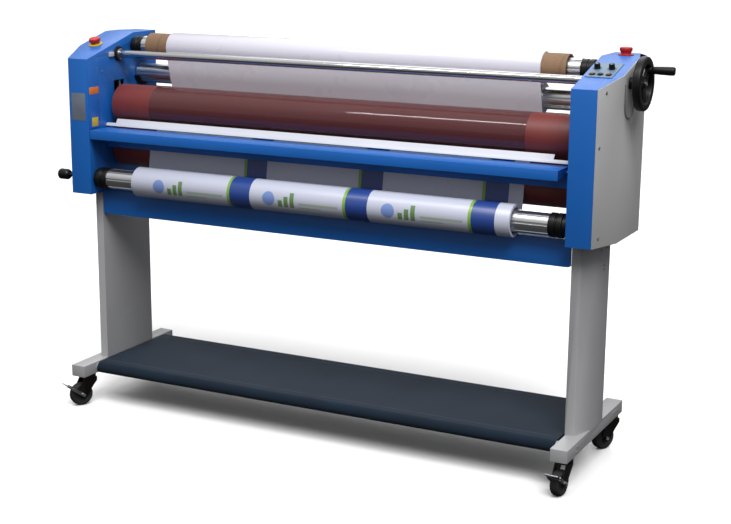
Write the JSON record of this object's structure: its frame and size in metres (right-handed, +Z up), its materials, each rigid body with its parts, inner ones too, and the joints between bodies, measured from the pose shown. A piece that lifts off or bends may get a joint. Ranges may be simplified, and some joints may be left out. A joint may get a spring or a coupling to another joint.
{
  "type": "cold roll laminator",
  "caption": "Wide cold roll laminator on a wheeled stand, with silicone rollers, film supply roll, print roll, tilting feed table, handwheel lift and control panel.",
  "frame": {"origin": "centre of the whole machine's box in plan, on the floor", "axes": "+X along the rollers towards the control end with the handwheel, -Y towards the operator's feed side, +Z up"},
  "size_m": [1.9506, 0.5338, 1.2138],
  "materials": {
    "blue_paint": "satin powder coat",
    "grey_paint": "satin powder coat",
    "silver_paint": "fine textured powder coat",
    "steel": "machined",
    "chrome": "polished",
    "aluminium": "fine lengthwise grooves",
    "silicone": "ground matte",
    "black_plastic": "fine grain",
    "white_film": "smooth film",
    "print_media": "printed vinyl",
    "cardboard": "wound tube",
    "navy_fabric": "woven cloth",
    "red_plastic": "moulded",
    "yellow_plastic": "moulded",
    "zinc": "zinc plated",
    "tyre_black": "smooth tread"
  },
  "bodies": {
    "frame": {"left_leg": "silver_paint", "right_leg": "silver_paint", "front_apron": "blue_paint", "shelf_rail_front": "steel", "shelf_rail_rear": "steel", "shelf_sling": "navy_fabric", "left_cabinet": "blue_paint", "right_cabinet": "blue_paint", "left_side_cover": "blue_paint", "right_side_cover": "grey_paint", "control_panel": "grey_paint", "left_estop_base": "yellow_plastic", "right_estop_base": "black_plastic", "nip_guard": "aluminium", "drive_motor": "black_plastic", "drive_chain": "steel", "film_web": "white_film", "print_web": "print_media", "power_inlet": "black_plastic"},
    "left_estop": {"left_estop_button": "red_plastic"},
    "right_estop": {"right_estop_button": "red_plastic"},
    "speed_knob": {"speed_knob": "black_plastic"},
    "pressure_knob": {"pressure_knob": "black_plastic"},
    "forward_button": {"forward_button": "black_plastic"},
    "stop_button": {"stop_button": "black_plastic"},
    "reverse_button": {"reverse_button": "black_plastic"},
    "lift_drive": {"lift_shaft": "chrome", "handwheel": "black_plastic"},
    "crank_grip": {"crank_grip": "black_plastic"},
    "roller_lift": {"left_bearing_block": "steel", "right_bearing_block": "steel"},
    "top_roller": {"top_roller_core": "steel", "top_roller_sleeve": "silicone"},
    "lower_roller": {"lower_roller_core": "steel", "lower_roller_sleeve": "silicone"},
    "motor_output": {"motor_sprocket": "steel"},
    "supply_roll": {"supply_shaft": "aluminium", "supply_core": "cardboard", "supply_film": "white_film", "supply_chuck_left": "black_plastic", "supply_chuck_right": "black_plastic"},
    "liner_takeup": {"takeup_shaft": "aluminium", "liner_roll": "white_film"},
    "peel_idler": {"peel_idler": "chrome"},
    "print_unwind": {"print_shaft": "aluminium", "print_roll": "print_media", "print_chuck_left": "black_plastic", "print_chuck_right": "black_plastic"},
    "feed_table": {"feed_table": "blue_paint"},
    "tension_knob": {"print_tension_knob": "black_plastic"},
    "caster_swivel_front_left": {"caster_fork_front_left": "zinc"},
    "caster_wheel_front_left": {"caster_wheel_front_left": "tyre_black"},
    "caster_brake_front_left": {"caster_brake_front_left": "zinc"},
    "caster_swivel_front_right": {"caster_fork_front_right": "zinc"},
    "caster_wheel_front_right": {"caster_wheel_front_right": "tyre_black"},
    "caster_brake_front_right": {"caster_brake_front_right": "zinc"},
    "caster_swivel_rear_left": {"caster_fork_rear_left": "zinc"},
    "caster_wheel_rear_left": {"caster_wheel_rear_left": "tyre_black"},
    "caster_swivel_rear_right": {"caster_fork_rear_right": "zinc"},
    "caster_wheel_rear_right": {"caster_wheel_rear_right": "tyre_black"}
  },
  "joints": [
    {"name": "left_estop_press", "type": "slide", "parent": "frame", "child": "left_estop", "axis": [0, 0.2662, -0.9639], "range_m": [0, 0.004], "stiffness_N_per_m": 400, "springref_m": -0.003},
    {"name": "right_estop_press", "type": "slide", "parent": "frame", "child": "right_estop", "axis": [0, 0, -1], "range_m": [0, 0.004], "stiffness_N_per_m": 400, "springref_m": -0.003},
    {"name": "speed_knob_turn", "type": "hinge", "parent": "frame", "child": "speed_knob", "pos_m": [0.77695, -0.02094, 1.16481], "axis": [0, -0.2662, 0.9639], "range_deg": [-140, 140]},
    {"name": "pressure_knob_turn", "type": "hinge", "parent": "frame", "child": "pressure_knob", "pos_m": [0.81799, -0.02094, 1.16481], "axis": [0, -0.2662, 0.9639], "range_deg": [-140, 140]},
    {"name": "forward_button_press", "type": "slide", "parent": "frame", "child": "forward_button", "axis": [0, 0.2662, -0.9639], "range_m": [0, 0.002], "stiffness_N_per_m": 300, "springref_m": -0.002},
    {"name": "stop_button_press", "type": "slide", "parent": "frame", "child": "stop_button", "axis": [0, 0.2662, -0.9639], "range_m": [0, 0.002], "stiffness_N_per_m": 300, "springref_m": -0.002},
    {"name": "reverse_button_press", "type": "slide", "parent": "frame", "child": "reverse_button", "axis": [0, 0.2662, -0.9639], "range_m": [0, 0.002], "stiffness_N_per_m": 300, "springref_m": -0.002},
    {"name": "top_roller_lift", "type": "slide", "parent": "frame", "child": "roller_lift", "axis": [0, 0, 1], "range_m": [0, 0.024]},
    {"name": "handwheel_turn", "type": "hinge", "parent": "frame", "child": "lift_drive", "pos_m": [-0.03525, -0.00506, 1.128], "axis": [1, 0, 0], "range_deg": [0, 115]},
    {"name": "crank_grip_spin", "type": "hinge", "parent": "lift_drive", "child": "crank_grip", "pos_m": [0.90725, 0.03478, 1.16142], "axis": [1, 0, 0], "continuous": true},
    {"name": "lower_roller_spin", "type": "hinge", "parent": "frame", "child": "lower_roller", "pos_m": [-0.03525, -0.00306, 0.8345], "axis": [1, 0, 0], "continuous": true},
    {"name": "top_roller_spin", "type": "hinge", "parent": "roller_lift", "child": "top_roller", "pos_m": [-0.03525, -0.00306, 0.967], "axis": [1, 0, 0], "continuous": true},
    {"name": "motor_spin", "type": "hinge", "parent": "frame", "child": "motor_output", "pos_m": [-0.03525, 0.09494, 0.752], "axis": [1, 0, 0], "continuous": true},
    {"name": "supply_roll_spin", "type": "hinge", "parent": "frame", "child": "supply_roll", "pos_m": [-0.03525, 0.08094, 1.149], "axis": [1, 0, 0], "continuous": true},
    {"name": "liner_takeup_spin", "type": "hinge", "parent": "frame", "child": "liner_takeup", "pos_m": [-0.03525, 0.11594, 1.058], "axis": [1, 0, 0], "continuous": true},
    {"name": "peel_idler_spin", "type": "hinge", "parent": "frame", "child": "peel_idler", "pos_m": [-0.03525, 0.08294, 1.01], "axis": [1, 0, 0], "continuous": true},
    {"name": "print_unwind_spin", "type": "hinge", "parent": "frame", "child": "print_unwind", "pos_m": [-0.03525, -0.13106, 0.745], "axis": [1, 0, 0], "continuous": true},
    {"name": "feed_table_tilt", "type": "hinge", "parent": "frame", "child": "feed_table", "pos_m": [-0.03525, -0.09506, 0.88575], "axis": [-1, 0, 0], "range_deg": [0, 50]},
    {"name": "print_tension_turn", "type": "hinge", "parent": "frame", "child": "tension_knob", "pos_m": [-0.95525, -0.13106, 0.745], "axis": [1, 0, 0], "range_deg": [-360, 360]},
    {"name": "caster_swivel_front_left", "type": "hinge", "parent": "frame", "child": "caster_swivel_front_left", "pos_m": [-0.85325, -0.18106, 0.104], "axis": [0, 0, 1], "continuous": true},
    {"name": "caster_wheel_spin_front_left", "type": "hinge", "parent": "caster_swivel_front_left", "child": "caster_wheel_front_left", "pos_m": [-0.8664, -0.20578, 0.0375], "axis": [0.8829, -0.4695, 0], "continuous": true},
    {"name": "caster_brake_press_front_left", "type": "hinge", "parent": "caster_swivel_front_left", "child": "caster_brake_front_left", "pos_m": [-0.8664, -0.20578, 0.0375], "axis": [0.8829, -0.4695, 0], "range_deg": [0, 20]},
    {"name": "caster_swivel_front_right", "type": "hinge", "parent": "frame", "child": "caster_swivel_front_right", "pos_m": [0.78275, -0.18106, 0.104], "axis": [0, 0, 1], "continuous": true},
    {"name": "caster_wheel_spin_front_right", "type": "hinge", "parent": "caster_swivel_front_right", "child": "caster_wheel_front_right", "pos_m": [0.77982, -0.2089, 0.0375], "axis": [0.9945, -0.1045, 0], "continuous": true},
    {"name": "caster_brake_press_front_right", "type": "hinge", "parent": "caster_swivel_front_right", "child": "caster_brake_front_right", "pos_m": [0.77982, -0.2089, 0.0375], "axis": [0.9945, -0.1045, 0], "range_deg": [0, 20]},
    {"name": "caster_swivel_rear_left", "type": "hinge", "parent": "frame", "child": "caster_swivel_rear_left", "pos_m": [-0.85325, 0.23194, 0.104], "axis": [0, 0, 1], "continuous": true},
    {"name": "caster_wheel_spin_rear_left", "type": "hinge", "parent": "caster_swivel_rear_left", "child": "caster_wheel_rear_left", "pos_m": [-0.86283, 0.20563, 0.0375], "axis": [0.9397, -0.342, 0], "continuous": true},
    {"name": "caster_swivel_rear_right", "type": "hinge", "parent": "frame", "child": "caster_swivel_rear_right", "pos_m": [0.78275, 0.23194, 0.104], "axis": [0, 0, 1], "continuous": true},
    {"name": "caster_wheel_spin_rear_right", "type": "hinge", "parent": "caster_swivel_rear_right", "child": "caster_wheel_rear_right", "pos_m": [0.76875, 0.20769, 0.0375], "axis": [0.866, -0.5, 0], "continuous": true}
  ],
  "couplings": [
    {"joint": "handwheel_turn", "follows": "top_roller_lift", "rad_per_m": 83.333},
    {"joint": "top_roller_spin", "follows": "lower_roller_spin", "ratio": -1},
    {"joint": "motor_spin", "follows": "lower_roller_spin", "ratio": 2}
  ]
}
